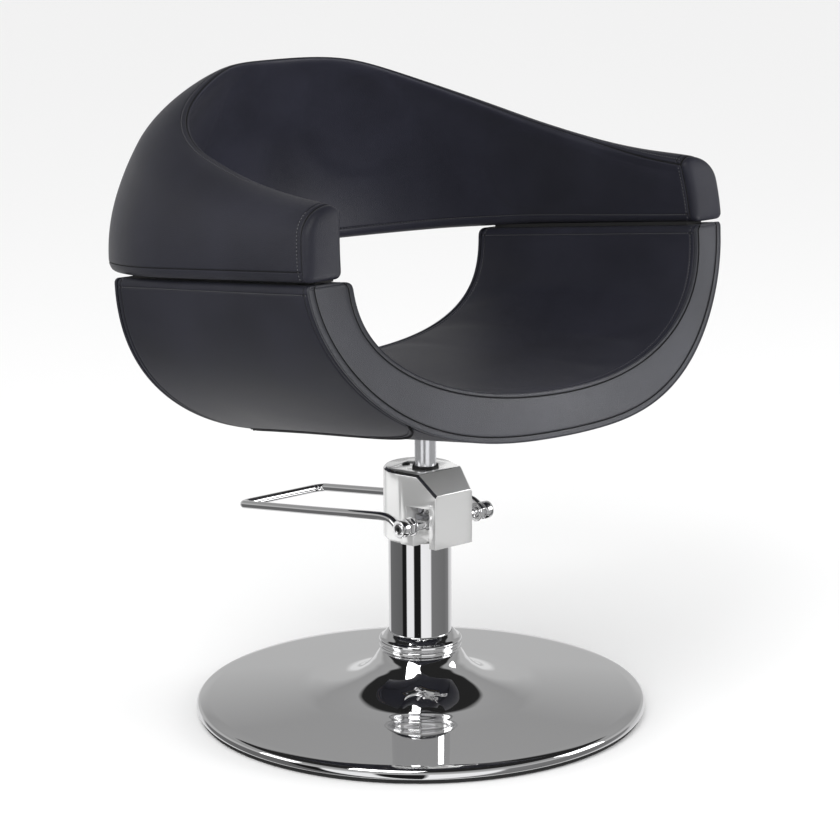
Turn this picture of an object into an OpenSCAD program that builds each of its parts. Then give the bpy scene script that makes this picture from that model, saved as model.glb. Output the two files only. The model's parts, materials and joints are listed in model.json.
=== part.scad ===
// Styling chair: a wrap-round arm and back band over a U-shaped seat tub,
// on a hydraulic lift column with a foot loop and a round dished base.
// Millimetres, +Z up. The origin is on the floor under the column's axis,
// and the sitter faces -Y.

/* [Base] */
// diameter of the round base
base_d = 590; // [520:5:640]
// height of the base's dome where the collar sits
dome_h = 82; // [70:1:95]
// wall of the spun dome
dome_t = 3; // [2:0.5:4]
// height of the rubber ring under the rim
foot_h = 5; // [4:0.5:8]
// diameter of the collar at the column's foot
collar_d = 108; // [100:1:120]

/* [Column and lift] */
// outer diameter of the column cover
column_d = 82; // [76:1:90]
// underside of the pump head above the floor
head_z = 233; // [225:1:260]
// height of the pump head
head_h = 95; // [90:1:110]
// diameter of the pump head's round part
head_d = 94; // [90:1:104]
// width of the head's front box
box_w = 62; // [56:1:70]
// distance from the column's axis to the box's front face
box_y = 68; // [64:1:76]
// diameter of the piston rod
rod_d = 28; // [25:1:30]
// distance the rod stands forward of the column's axis
rod_y = 12; // [10:1:13]

/* [Pedal] */
// height of the pedal's cross shaft
shaft_z = 265; // [260:1:270]
// distance the cross shaft stands forward of the column's axis
shaft_y = 48; // [46:1:50]
// diameter of the cross shaft
shaft_d = 14; // [12:0.5:16]
// centre-to-centre width of the foot loop's two arms
loop_w = 140; // [130:1:160]
// diameter of the loop's rod
loop_d = 11; // [9:0.5:12]
// distance from the column's axis back to the loop's end bar
loop_y = 298; // [260:2:310]
// height of the loop's end bar
loop_z = 228; // [220:1:234]

/* [Seat tub] */
// overall width of the tub
tub_w = 670; // [620:2:700]
// depth of the tub below its rim
tub_h = 221; // [200:1:235]
// depth of the seat's hollow below the rim
seat_h = 152; // [140:1:160]
// clear width between the tub's side walls
seat_w = 562; // [540:2:570]
// backward tilt of the seat and band, in degrees
tilt_a = 8.5; // [6:0.5:10]
// height of the band's lower edge over the column's axis
band_z = 615; // [600:1:640]
// gap between the tub's rim and the band
band_gap = 9; // [6:0.5:14]
// thickness of the front facing
facing_t = 9; // [6:0.5:12]

/* [Back band] */
// overall width of the band
band_w = 680; // [640:2:700]
// depth of the band's curved back behind its straight arms
band_d = 347; // [320:1:360]
// thickness of the band
band_t = 49; // [46:1:56]
// height of the arms at their front ends
arm_h = 85; // [80:1:95]
// height of the back at its middle
back_h = 256; // [230:1:270]
// inward lean of the band at 200 mm above its lower edge
lean = 66; // [50:1:75]
// height of the roll along the band's outer top edge
roll_h = 54; // [45:1:60]
// thickness of the cap on each arm's end
cap_t = 12; // [8:1:16]

/* [Hidden] */
$fn = 64;
e = 0.3;
base_r = base_d / 2;
col_r = column_d / 2;
rod_r = rod_d / 2;
fit = 0.05;
head_top = head_z + head_h;
arm_x = loop_w / 2;
front_y = -205;
bend_y = 71;
band_x = band_w / 2;
tub_x = tub_w / 2;
rim = -band_gap;
layer = 13;
core_t = 14;
core_h = 60;
core_o = 20;
hollow_a = 3.9;
rear_y = 200;
plate_h = rim - tub_h + 9;
plate_t = 6;
plate_w = 150;
bolt_x = 56;
plate_y = 22;
flange_z = foot_h + 18.2;
pump_z = foot_h + 27.5;
flange_bolt_r = 58;
plunger_x = -23;
plunger_y = 18 - shaft_y;
plunger_z = head_z + 44.2;
cam_x = -28;
screw_x = -10;
screw_y = 15;
piston_z = 68;
barrel_r = 22;
seal_r = 18;
rod_top = 420;
hub_z = 372;
hub_r = 22;
stud_x = band_x - core_o - core_t / 2;
spacer_w = 22;
spacer_y0 = -188;
spacer_y1 = 180;
loop_n = [[arm_x, -shaft_y, shaft_z], [arm_x, -shaft_y + 20, shaft_z + 8],
          [arm_x, -shaft_y + 36, shaft_z + 9], [arm_x, loop_y - 14, loop_z + 3]];

function sgn_pow(v, p) = sign(v) * pow(abs(v), p);
// half-plan of the band's outer face, from an arm's front to the middle of the back
arc_n = 15;
arm_n = 5;
band_n = 2.2;
function band_pt(i) = i < arm_n
  ? [band_x, front_y + cap_t + e + (bend_y - front_y - cap_t - e) * i / arm_n]
  : let (a = 90 * (i - arm_n) / arc_n)
    [band_x * pow(cos(a), 2 / band_n), bend_y + band_d * pow(sin(a), 2 / band_n)];
function band_nm(p) = p[1] <= bend_y ? [1, 0]
  : let (g = [pow(max(p[0], 0) / band_x, band_n - 1) / band_x,
              pow((p[1] - bend_y) / band_d, band_n - 1) / band_d]) g / norm(g);
stations = [for (i = [0 : arm_n + arc_n]) band_pt(i)];
function smooth(t) = t * t * (3 - 2 * t);
function rise(y) = smooth(min(1, max(0, (y - front_y) / (bend_y + band_d - front_y) * 0.875)));
function top_h(y) = arm_h + (back_h - arm_h) * rise(y) / smooth(0.875);
function lean_at(h) = lean * pow(h / 200, 2);

// section through the band: [inward offset, height] for one station of top height t
function outer_sec(t) = concat(
  [[core_o - 0.4, 0], [6, 0], [1.5, 1.5], [0, 6]],
  [for (k = [1 : 5]) let (h = 6 + (t - roll_h - 6) * k / 5) [lean_at(h), h]],
  [for (k = [1 : 7]) let (a = 90 * k / 7, h = t - roll_h + roll_h * sin(a))
    [lean_at(h) + 0.8 * band_t * (1 - cos(a)), h]],
  [[band_t - 1 + lean_at(t - 3), t - 3], [band_t / 2 + lean_at(t - 20), t - 20]],
  [for (k = [1 : 3]) let (h = t - 20 - (t - 20 - core_h - 2) * k / 3) [band_t / 2 + lean_at(h), h]],
  [[core_o - 0.4, core_h + 0.4]]);
function inner_sec(t) = concat(
  [[band_t - 5, 0], [core_o + core_t + 0.4, 0], [core_o + core_t + 0.4, core_h + 0.4],
   [band_t / 2 + 0.6 + lean_at(core_h + 2), core_h + 0.8]],
  [for (k = [1 : 3]) let (h = core_h + 2 + (t - 20 - core_h - 2) * k / 3)
    [band_t / 2 + 0.6 + lean_at(h), h - 0.4]],
  [[band_t - 1 + lean_at(t - 4), t - 4]],
  [for (k = [1 : 6]) let (h = t - 9 - (t - 9 - 5) * k / 6) [band_t + lean_at(h), h]]);

function place(p, s, side) = let (n = band_nm(p))
  [side * (p[0] - n[0] * s[0]), p[1] - n[1] * s[0], s[1]];

// closed skin through a list of rings that each hold the same number of points
module skin(rings) {
  m = len(rings[0]);
  n = len(rings);
  polyhedron(
    points = [for (r = rings) each r],
    faces = concat(
      [[for (j = [0 : m - 1]) j]],
      [for (i = [0 : n - 2], j = [0 : m - 1]) let (k = (j + 1) % m)
        each [[i * m + j, (i + 1) * m + j, (i + 1) * m + k],
              [i * m + j, (i + 1) * m + k, i * m + k]]],
      [[for (j = [m - 1 : -1 : 0]) (n - 1) * m + j]]),
    convexity = 8);
}

module tilted() translate([0, 0, band_z]) rotate([-tilt_a, 0, 0]) children();

module band_skin(kind) {
  last = len(stations) - 1;
  tilted() skin([for (q = [-last : last]) let (i = last - abs(q), p = stations[i], t = top_h(p[1]))
    [for (s = kind == 0 ? outer_sec(t) : inner_sec(t)) place(p, s, q < 0 ? 1 : -1)]]);
}

// U-shaped region below the rim, cut off at height cut
module u_shape(x, d, n, top) {
  polygon(concat([[-x, top], [x, top]],
    [for (i = [0 : 32]) let (a = 180 * i / 32)
      [x * sgn_pow(cos(a), 2 / n), rim - d * pow(sin(a), 2 / n)]]));
}

module u_prism(x, d, n, top) rotate([90, 0, 0]) translate([0, 0, -320])
  linear_extrude(660) u_shape(x, d, n, top);

module outer_u(o, top = rim) u_prism(tub_x - o, tub_h - o, 2.3, top);
module hollow() rotate([hollow_a, 0, 0]) u_prism(seat_w / 2, seat_h, 2.5, 60);

function face_y(x) = -257 + 53 * pow(min(1, abs(x) / tub_x), 1.3);

module plan_from(o, depth) translate([0, 0, -400]) linear_extrude(500)
  polygon(concat([for (i = [-20 : 20]) let (x = (tub_x + 5) * i / 20) [x, face_y(x) + o]],
    depth > 0
      ? [for (i = [20 : -1 : -20]) let (x = (tub_x + 5) * i / 20) [x, face_y(x) + o + depth]]
      : [[tub_x + 5, 290], [-tub_x - 5, 290]]));

module cut_rear(y) difference() {
  children();
  translate([-500, y, 0]) cube([1000, 400, 1000]);
}

module socket_cut(r) translate([0, -rod_y, 300]) cylinder(r = r, h = 128);

module plate_bolt_at() for (x = [-bolt_x, bolt_x], y = [-bolt_x, bolt_x])
  translate([x, y + plate_y, 0]) children();

module stud_at() for (s = [-1, 1], y = [-120, 0]) translate([s * stud_x, y, 0]) children();

// base ------------------------------------------------------------------
dome_pts = [[col_r + 1.5, dome_h], [52, dome_h - 1.5], [60, dome_h - 13], [72, dome_h - 27],
  [88, dome_h - 38], [108, dome_h - 46], [130, dome_h - 50.5], [154, dome_h - 53],
  [base_r - 14, 20], [base_r - 7, 19], [base_r - 2, 16.5], [base_r, 12.5],
  [base_r - 1.5, 8.5], [base_r - 5, foot_h + 0.4]];

module base_disc() color([0.62, 0.63, 0.65]) rotate_extrude($fn = 96)
  polygon(concat(dome_pts, [[base_r - 9, foot_h + 0.4], [base_r - 6, 12],
    [base_r - 14, 20 - dome_t], [154, dome_h - 53 - dome_t], [130, dome_h - 51 - dome_t],
    [108, dome_h - 47 - dome_t], [86, dome_h - 40 - dome_t], [69, dome_h - 28 - dome_t],
    [57, dome_h - 14 - dome_t], [49, dome_h - 3 - dome_t], [col_r + 1.5, dome_h - 2 - dome_t]]));

module rim_rubber() color([0.03, 0.03, 0.03]) rotate_extrude($fn = 96)
  polygon([[base_r - 14, 0], [base_r - 6, 0], [base_r - 4.5, 1.5], [base_r - 4.5, foot_h],
    [base_r - 14, foot_h]]);

module ballast_plate() color([0.1, 0.1, 0.1]) difference() {
  union() {
    translate([0, 0, foot_h + 1]) cylinder(r = base_r - 30, h = 9, $fn = 96);
    translate([0, 0, foot_h + 10]) cylinder(r = 120, h = 8);
  }
  translate([0, 0, -1]) for (a = [45 : 90 : 315]) rotate(a) translate([flange_bolt_r, 0, 0])
    cylinder(r = 5.2, h = 60);
}

module pump_flange() color([0.2, 0.2, 0.2]) difference() {
  translate([0, 0, flange_z]) cylinder(r = 72, h = 9);
  for (a = [45 : 90 : 315]) rotate(a) translate([flange_bolt_r, 0, -1]) cylinder(r = 5.2, h = 60);
}

module flange_bolts() color([0.35, 0.35, 0.36]) for (a = [45 : 90 : 315]) rotate(a)
  translate([flange_bolt_r, 0, 0]) {
    translate([0, 0, foot_h + 1.5]) cylinder(r = 4.9, h = 26);
    translate([0, 0, pump_z]) cylinder(r = 8.5, h = 6, $fn = 6);
  }

module collar_ring() color([0.7, 0.7, 0.72]) rotate_extrude()
  polygon([[col_r + 0.2, dome_h + 0.3], [49, dome_h + 0.3], [collar_d / 2 - 2, dome_h + 4],
    [collar_d / 2, dome_h + 7], [collar_d / 2, dome_h + 11], [collar_d / 2 - 2, dome_h + 14],
    [col_r + 3, dome_h + 23.5], [col_r + 0.2, dome_h + 24]]);

module column_cover() color([0.6, 0.6, 0.62]) difference() {
  translate([0, 0, pump_z]) cylinder(r = col_r, h = head_z - pump_z - 0.1);
  cylinder(r = col_r - 2, h = 400);
}

module pump_cylinder() color([0.3, 0.3, 0.3]) translate([0, -rod_y, 0]) difference() {
  translate([0, 0, pump_z]) cylinder(r = barrel_r + 4, h = head_z - pump_z - 0.2);
  translate([0, 0, pump_z + 5.5]) cylinder(r = barrel_r, h = 300);
}

// pump head: round body with a front box that the cross shaft runs through
module pump_head() color([0.75, 0.75, 0.76]) difference() {
  translate([0, 0, head_z]) linear_extrude(head_h) union() {
    circle(d = head_d);
    polygon([[-box_w / 2, -box_y], [box_w / 2, -box_y], [head_d / 2 - 2, -13], [head_d / 2 - 2, 0],
      [2 - head_d / 2, 0], [2 - head_d / 2, -13]]);
  }
  // slanted front top
  translate([0, -box_y, head_top - 24]) rotate([40.6, 0, 0]) translate([-60, -30, 0]) cube([120, 90, 60]);
  // pockets each side of the middle web, for the shaft's ends and the cam
  for (s = [0, 1]) mirror([s, 0, 0]) {
    translate([14, -box_y + 10, head_z - 1]) cube([60, 24, 53]);
    translate([16, -box_y + 33, head_z + 23]) cube([60, 12, 29]);
  }
  translate([-60, -shaft_y, shaft_z]) rotate([0, 90, 0]) cylinder(d = shaft_d + 2 * fit, h = 120);
  translate([0, -rod_y, 0]) cylinder(r = rod_r + fit, h = 400);
  translate([0, -rod_y, head_top - 7]) cylinder(r = rod_r + 3, h = 20);
  translate([plunger_x, plunger_y, head_z + 40]) cylinder(r = 4 + fit, h = head_h - 58);
  translate([screw_x, screw_y, head_top - 4]) cylinder(r = 5.2, h = 10);
  translate([screw_x, screw_y, head_top - 14]) cylinder(r = 3.2, h = 20);
}

module rod_gland() color([0.05, 0.05, 0.05]) translate([0, -rod_y, 0]) difference() {
  translate([0, 0, head_top - 6.8]) cylinder(r = rod_r + 2.9, h = 9.5);
  cylinder(r = rod_r + fit, h = 400);
}

module filler_screw() color([0.08, 0.08, 0.08]) translate([screw_x, screw_y, 0]) difference() {
  union() {
    translate([0, 0, head_top - 3.8]) cylinder(r = 4.9, h = 5);
    translate([0, 0, head_top - 12]) cylinder(r = 3, h = 9);
  }
  translate([0, 0, head_top - 1.5]) cylinder(r = 2.5, h = 5, $fn = 6);
}

// lift ------------------------------------------------------------------
module piston_rod() color([0.7, 0.71, 0.73]) translate([0, -rod_y, 0]) union() {
  translate([0, 0, piston_z + 24]) cylinder(r = rod_r, h = rod_top - piston_z - 26);
  translate([0, 0, rod_top - 2]) cylinder(r1 = rod_r, r2 = rod_r - 2, h = 2);
  translate([0, 0, piston_z - 4]) cylinder(r = 8, h = 28.1);
}

module piston() color([0.45, 0.45, 0.47]) translate([0, -rod_y, 0]) difference() {
  translate([0, 0, piston_z]) cylinder(r = barrel_r - fit, h = 23.9);
  cylinder(r = 8.1, h = 200);
  translate([0, 0, piston_z + 9]) difference() {
    cylinder(r = barrel_r + 8, h = 6);
    translate([0, 0, -1]) cylinder(r = seal_r, h = 8);
  }
}

module piston_seal() color([0.05, 0.05, 0.05]) translate([0, -rod_y, piston_z + 9.2]) difference() {
  cylinder(r = barrel_r - fit, h = 5.6);
  translate([0, 0, -1]) cylinder(r = seal_r + 0.1, h = 9);
}

module piston_nut() color([0.4, 0.4, 0.4]) translate([0, -rod_y, 0]) difference() {
  translate([0, 0, piston_z - 9]) cylinder(r = 14, h = 8.9, $fn = 6);
  cylinder(r = 8.1, h = 100);
}

// pedal -----------------------------------------------------------------
module across(x, r, w, f = 64) translate([x, -shaft_y, shaft_z]) rotate([0, 90, 0]) cylinder(r = r, h = w, $fn = f);

module pedal_shaft() color([0.6, 0.6, 0.62]) difference() {
  across(-arm_x - 7, shaft_d / 2, loop_w + 14);
  across(-arm_x - 8, 3.2, 7, 6);
  across(arm_x + 1, 3.2, 7, 6);
}

module pedal_eyes() color([0.72, 0.72, 0.74]) for (s = [-1, 1]) difference() {
  across(s * arm_x - 6, shaft_d / 2 + 4.5, 12);
  across(s * arm_x - 20, shaft_d / 2 + 0.05, 40);
}

module pedal_nuts() color([0.65, 0.65, 0.67]) for (s = [-1, 1]) difference() {
  union() {
    across(s * (arm_x - 10.5) - 4, 11.5, 8, 6);
    across(s * (arm_x - 16) - 1, 12.5, 2);
  }
  across(s * arm_x - 40, shaft_d / 2 + 0.05, 80);
}

module pedal_cam() color([0.4, 0.4, 0.4]) difference() {
  union() {
    across(cam_x, 9.2, 10);
    translate([cam_x, -shaft_y, shaft_z]) cube([10, 22, 7]);
  }
  across(-40, shaft_d / 2 + 0.05, 40);
}

// swept round bar through a list of centre points
function unit(v) = v / norm(v);
function bar_ring(p, i, r, m) = let (a = p[max(0, i - 1)], b = p[min(len(p) - 1, i + 1)],
    t = unit(b - a), u = unit(cross(t, abs(t[2]) > 0.9 ? [1, 0, 0] : [0, 0, 1])), w = cross(t, u),
    k = i == 0 || i == len(p) - 1 ? 1 : 1 / max(0.5, unit(p[i] - a) * t))
  [for (j = [0 : m - 1]) let (c = 360 * j / m) p[i] + r * (k * cos(c) * u + sin(c) * w)];

module pedal_loop() color([0.72, 0.72, 0.74]) difference() {
  half = concat(loop_n, [for (c = [15 : 15 : 90])
    [arm_x - 14 + 14 * cos(c), loop_y - 14 + 14 * sin(c), loop_z + 3 - 3 * sin(c)]]);
  path = concat(half, [for (i = [len(half) - 1 : -1 : 0]) [-half[i][0], half[i][1], half[i][2]]]);
  skin([for (i = [0 : len(path) - 1]) bar_ring(path, i, loop_d / 2, 14)]);
  across(-arm_x - 20, shaft_d / 2 + 4.7, loop_w + 40);
}

module pump_plunger() color([0.5, 0.5, 0.5]) translate([plunger_x, plunger_y, plunger_z]) {
  cylinder(r = 4, h = 18);
  sphere(4);
}

// seat ------------------------------------------------------------------
module seat_hub() color([0.15, 0.15, 0.15]) difference() {
  translate([0, -rod_y, hub_z]) cylinder(r = hub_r, h = rod_top + 5 - hub_z);
  translate([0, -rod_y, hub_z - 12]) cylinder(r = rod_r + fit, h = rod_top + 13 - hub_z);
}

module seat_plate() color([0.1, 0.1, 0.1]) difference() {
  tilted() difference() {
    translate([-plate_w / 2, plate_y - plate_w / 2, plate_h - plate_t]) cube([plate_w, plate_w, plate_t]);
    plate_bolt_at() translate([0, 0, plate_h - 30]) cylinder(r = 4.4, h = 60);
  }
  socket_cut(hub_r + 0.2);
}

module plate_bolts() color([0.4, 0.4, 0.42]) tilted() plate_bolt_at() {
  translate([0, 0, plate_h - plate_t - 3.6]) cylinder(r = 7.5, h = 3.5, $fn = 6);
  translate([0, 0, plate_h - plate_t - 0.3]) cylinder(r = 4, h = plate_t + 14);
}

module mount_board() color([0.6, 0.48, 0.33]) difference() {
  tilted() difference() {
    translate([-plate_w / 2, plate_y - plate_w / 2, plate_h + 0.1]) cube([plate_w, plate_w, 40]);
    outer_u(layer - 0.2);
    plate_bolt_at() translate([0, 0, plate_h - 30]) cylinder(r = 4.3, h = 80);
  }
  socket_cut(hub_r + 0.4);
}

module tub_cover() color([0.09, 0.09, 0.11]) cut_rear(rear_y - 6.2) tilted() difference() {
  intersection() {
    outer_u(0);
    plan_from(facing_t + e, 0);
  }
  intersection() {
    outer_u(layer - 0.2);
    translate([-500, -500, -500]) cube([1000, 1000, 500 + rim - 8]);
  }
  outer_u(layer + core_t);
  translate([-plate_w / 2 - 1, plate_y - 1 - plate_w / 2, plate_h - 30]) cube([plate_w + 2, plate_w + 2, 60]);
  stud_at() translate([0, 0, -60]) cylinder(r = 3.3, h = 80);
}

module tub_frame() color([0.62, 0.5, 0.35]) cut_rear(rear_y - 6.4) difference() {
  tilted() difference() {
    intersection() {
      outer_u(layer);
      plan_from(facing_t + e, 0);
      translate([-500, -500, -500]) cube([1000, 1000, 500 + rim - 8.3]);
    }
    outer_u(layer + core_t - 0.2, 20);
    stud_at() translate([0, 0, -62]) cylinder(r = 3.3, h = 80);
    plate_bolt_at() translate([0, 0, plate_h - 30]) cylinder(r = 4.3, h = 80);
  }
  socket_cut(hub_r + 0.4);
}

module tub_pad() color([0.1, 0.1, 0.12]) cut_rear(rear_y - 6.2) difference() {
  tilted() difference() {
    intersection() {
      outer_u(layer + core_t + 0.1);
      plan_from(facing_t + e, 0);
    }
    hollow();
  }
  socket_cut(hub_r + 1);
}

module tub_facing() color([0.13, 0.13, 0.15]) tilted() difference() {
  intersection() {
    outer_u(0);
    plan_from(0, facing_t);
  }
  hollow();
}

module tub_rear_facing() color([0.09, 0.09, 0.11]) difference() {
  intersection() {
    tilted() difference() {
      outer_u(0);
      hollow();
    }
    translate([-500, rear_y - 6, 0]) cube([1000, 6, 1000]);
  }
}

module arm_spacers() color([0.03, 0.03, 0.03]) tilted() difference() {
  for (s = [-1, 1]) translate([s * stud_x - spacer_w / 2, spacer_y0, rim + 0.2])
    cube([spacer_w, spacer_y1 - spacer_y0, band_gap - 0.4]);
  stud_at() translate([0, 0, -60]) cylinder(r = 3.3, h = 120);
}

module arm_studs() color([0.45, 0.45, 0.47]) tilted() stud_at() translate([0, 0, -55]) cylinder(r = 3, h = 95);

// back band ---------------------------------------------------------------
module band_frame() color([0.62, 0.5, 0.35]) tilted() difference() {
  last = len(stations) - 1;
  run = [for (q = [-last : last]) [last - abs(q), q < 0 ? 1 : -1]];
  linear_extrude(core_h) polygon(concat(
    [for (r = run) let (v = place(stations[r[0]], [core_o, 0], r[1])) [v[0], v[1]]],
    [for (i = [len(run) - 1 : -1 : 0]) let (r = run[i], v = place(stations[r[0]], [core_o + core_t, 0], r[1]))
      [v[0], v[1]]]));
  stud_at() translate([0, 0, -10]) cylinder(r = 3.3, h = 55);
}

module band_cover() color([0.09, 0.09, 0.11]) band_skin(0);

module band_pad() color([0.1, 0.1, 0.12]) band_skin(1);

// full section of an arm, as the cap on its front end
module arm_cap(s) tilted() translate([0, front_y + cap_t, 0]) rotate([90, 0, 0]) linear_extrude(cap_t)
  polygon([for (p = concat([[6, 0], [1.5, 1.5], [0, 6]],
    [for (k = [0 : 3]) let (h = 8 + (arm_h - roll_h - 8) * k / 3) [lean_at(h), h]],
    [for (k = [1 : 8]) let (a = 90 * k / 8, h = arm_h - roll_h + roll_h * sin(a))
      [lean_at(h) + 0.8 * band_t * (1 - cos(a)), h]],
    [[band_t + lean_at(arm_h) - 3, arm_h - 1], [band_t + lean_at(arm_h), arm_h - 5],
     [band_t + 3, arm_h / 2], [band_t, 6], [band_t - 2, 1.5], [band_t - 6, 0]]))
    [s * (band_x - p[0]), p[1]]]);

module arm_cap_left() color([0.11, 0.11, 0.13]) arm_cap(1);
module arm_cap_right() color([0.11, 0.11, 0.13]) arm_cap(-1);

base_disc();
rim_rubber();
ballast_plate();
pump_flange();
flange_bolts();
collar_ring();
column_cover();
pump_cylinder();
pump_head();
rod_gland();
filler_screw();
piston_rod();
piston();
piston_seal();
piston_nut();
pedal_shaft();
pedal_eyes();
pedal_nuts();
pedal_cam();
pedal_loop();
pump_plunger();
seat_hub();
seat_plate();
plate_bolts();
mount_board();
tub_cover();
tub_frame();
tub_pad();
tub_facing();
tub_rear_facing();
arm_spacers();
arm_studs();
band_frame();
band_cover();
band_pad();
arm_cap_left();
arm_cap_right();
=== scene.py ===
"""Looks for the styling chair: upholstered tub and back band, polished pump and base."""

import json
import math

import bmesh
import bpy
import numpy as np
from mathutils import Matrix, Vector

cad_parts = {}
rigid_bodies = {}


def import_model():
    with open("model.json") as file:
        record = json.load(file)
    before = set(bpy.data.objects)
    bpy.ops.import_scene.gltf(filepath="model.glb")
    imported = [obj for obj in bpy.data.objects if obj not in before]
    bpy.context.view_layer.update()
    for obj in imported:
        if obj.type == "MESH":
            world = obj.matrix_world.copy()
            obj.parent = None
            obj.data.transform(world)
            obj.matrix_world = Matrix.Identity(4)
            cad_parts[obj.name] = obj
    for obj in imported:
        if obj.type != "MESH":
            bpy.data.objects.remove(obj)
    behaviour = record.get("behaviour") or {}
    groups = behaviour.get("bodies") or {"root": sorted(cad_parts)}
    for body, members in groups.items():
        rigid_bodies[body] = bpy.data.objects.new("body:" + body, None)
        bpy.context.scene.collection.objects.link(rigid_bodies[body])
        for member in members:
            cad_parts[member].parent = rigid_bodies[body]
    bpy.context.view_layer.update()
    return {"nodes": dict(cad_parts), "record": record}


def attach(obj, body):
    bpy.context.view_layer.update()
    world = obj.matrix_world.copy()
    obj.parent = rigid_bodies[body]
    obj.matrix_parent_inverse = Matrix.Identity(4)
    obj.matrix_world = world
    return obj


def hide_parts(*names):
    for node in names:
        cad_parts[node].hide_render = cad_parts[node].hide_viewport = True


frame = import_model()

# ------------------------------------------------------------------ sizes, metres
TILT = math.radians(8.5)
BAND_Z = 0.615
RIM = -0.009
GAP_SLOPE, GAP_SKEW, GAP_CLOSE = 0.028, 0.008, 0.0022
FRONT_Y = -0.205
BEND_Y = 0.071
BAND_X, BAND_D, BAND_N = 0.340, 0.347, 2.2
ARM_T, BACK_T = 0.052, 0.049
ARM_H, BACK_H = 0.085, 0.256
LEAN, CORNER_LEAN = 0.066, 0.0146
ARM_ROLL, BACK_ROLL = (0.036, 0.031), (0.0395, 0.054)
CORE_O, CORE_I, CORE_H = 0.0197, 0.0343, 0.0606
SEAM_Y = FRONT_Y + 0.0055
TUB_FRONT = (0.337, 0.226, 2.9, 1.72)
TUB_REAR = (0.327, 0.227, 2.15, 2.15)
HOLLOW_X = 0.281
FACE_EDGE = 0.003
REAR_Y = 0.200
PLATE_X, PLATE_Y0, PLATE_Y1 = 0.077, -0.055, 0.099
SHOULDER = 0.010
DROOP = 0.0065
SPACER_CAD, SPACER_X, SPACER_FRONT = (0.302, 0.324), (0.290, 0.316), -0.187
SEAM_R = 0.0035
STITCH = 0.0078
PUFF = 0.0022
WELT = 0.0009


def gap_shift(x, y, h):
    """The gap between tub and band falls a little more to the front than the seat's frame does,
    most on the sitter's right, and the two rims lie closer together than their solids."""
    slope = GAP_SLOPE + GAP_SKEW * np.clip(-x / 0.3, -1, 1)
    off = h - RIM / 2
    close = GAP_CLOSE * np.tanh(off / 0.002) * np.exp(-((off / 0.05) ** 2))
    return slope * np.clip(y, -0.25, 0.25) * np.exp(-((h / 0.09) ** 2)) - close


def seat_pt(x, y, h):
    """From the tilted seat's own frame to the shared frame."""
    c, s = math.cos(TILT), math.sin(TILT)
    h = h + gap_shift(x, y, h)
    return np.stack([x + 0 * y, y * c + h * s + 0 * x, BAND_Z - y * s + h * c + 0 * x], -1)


# ------------------------------------------------------------------ lines and marks
def along(path, at):
    """Points at the distances `at` along a polyline."""
    s = np.r_[0, np.cumsum(np.linalg.norm(np.diff(path, axis=0), axis=1))]
    return np.stack([np.interp(at, s, path[:, k]) for k in range(path.shape[1])], -1)


def length(path):
    """Length of a polyline."""
    return float(np.linalg.norm(np.diff(path, axis=0), axis=1).sum())


def fold_marks(at):
    """Close samples across a stitch fold."""
    return [at - 0.0020, at - 0.0011, at - 0.0005, at, at + 0.0005, at + 0.0011, at + 0.0020]


def edge_marks(r, *stitches):
    """Distances from a border that follow its rounding, with a fold at each stitch line."""
    marks = [r * (1 - math.cos(math.radians(a))) for a in (0, 25, 48, 70, 90)]
    for s in stitches:
        marks += fold_marks(s)
    return np.array(sorted(marks))


def spans(knots, counts):
    """Even samples between the knots, counts[i] steps in the i-th span."""
    parts = [np.linspace(a, b, n, endpoint=False) for a, b, n in zip(knots, knots[1:], counts)]
    return np.concatenate(parts + [[knots[-1]]])


def fold(d, deep=0.0013, wide=0.0008):
    """Depth of a stitch fold at distance d from its line."""
    return deep * np.exp(-((d / wide) ** 2))


def sink(d, r, *stitches):
    """Depth below the face at distance d from a border: its rounding and its stitch folds."""
    q = np.clip(r - d, 0, r)
    depth = r - np.sqrt(np.maximum(r * r - q * q, 0))
    for s in stitches:
        depth = depth + fold(d - s) - WELT * np.sin(np.pi * np.clip(d / s, 0, 1)) ** 2
    return depth


def ease(t):
    t = np.clip(t, 0, 1)
    return t * t * (3 - 2 * t)


def blend(a, b, s):
    return a + (b - a) * s


def arc(cx, cy, r, a0, a1, n=8):
    """Points on a circle between two angles in degrees."""
    a = np.radians(np.linspace(a0, a1, n))
    return np.stack([cx + r * np.cos(a), cy + r * np.sin(a)], 1)


def face_normals(grid, flip):
    """Unit normals of a grid of points."""
    n = np.cross(np.gradient(grid, axis=0), np.gradient(grid, axis=1))
    n /= np.linalg.norm(n, axis=-1, keepdims=True) + 1e-12
    return -n if flip else n


# ------------------------------------------------------------------ meshes
def new_piece(name, verts, faces, subdivide=0):
    """Mesh object with outward normals and smooth shading."""
    mesh = bpy.data.meshes.new(name)
    mesh.from_pydata([tuple(v) for v in verts], [], [tuple(f) for f in faces])
    bm = bmesh.new()
    bm.from_mesh(mesh)
    bmesh.ops.recalc_face_normals(bm, faces=bm.faces)
    bm.to_mesh(mesh)
    bm.free()
    mesh.polygons.foreach_set("use_smooth", [True] * len(mesh.polygons))
    piece = bpy.data.objects.new(name, mesh)
    bpy.context.collection.objects.link(piece)
    if subdivide:
        subdivided(piece, subdivide)
    return piece


def subdivided(piece, levels):
    sub = piece.modifiers.new("subdivide", "SUBSURF")
    sub.levels = sub.render_levels = levels


def drop_loose(piece):
    bm = bmesh.new()
    bm.from_mesh(piece.data)
    bmesh.ops.delete(bm, geom=[v for v in bm.verts if not v.link_faces], context="VERTS")
    bm.to_mesh(piece.data)
    bm.free()


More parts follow.
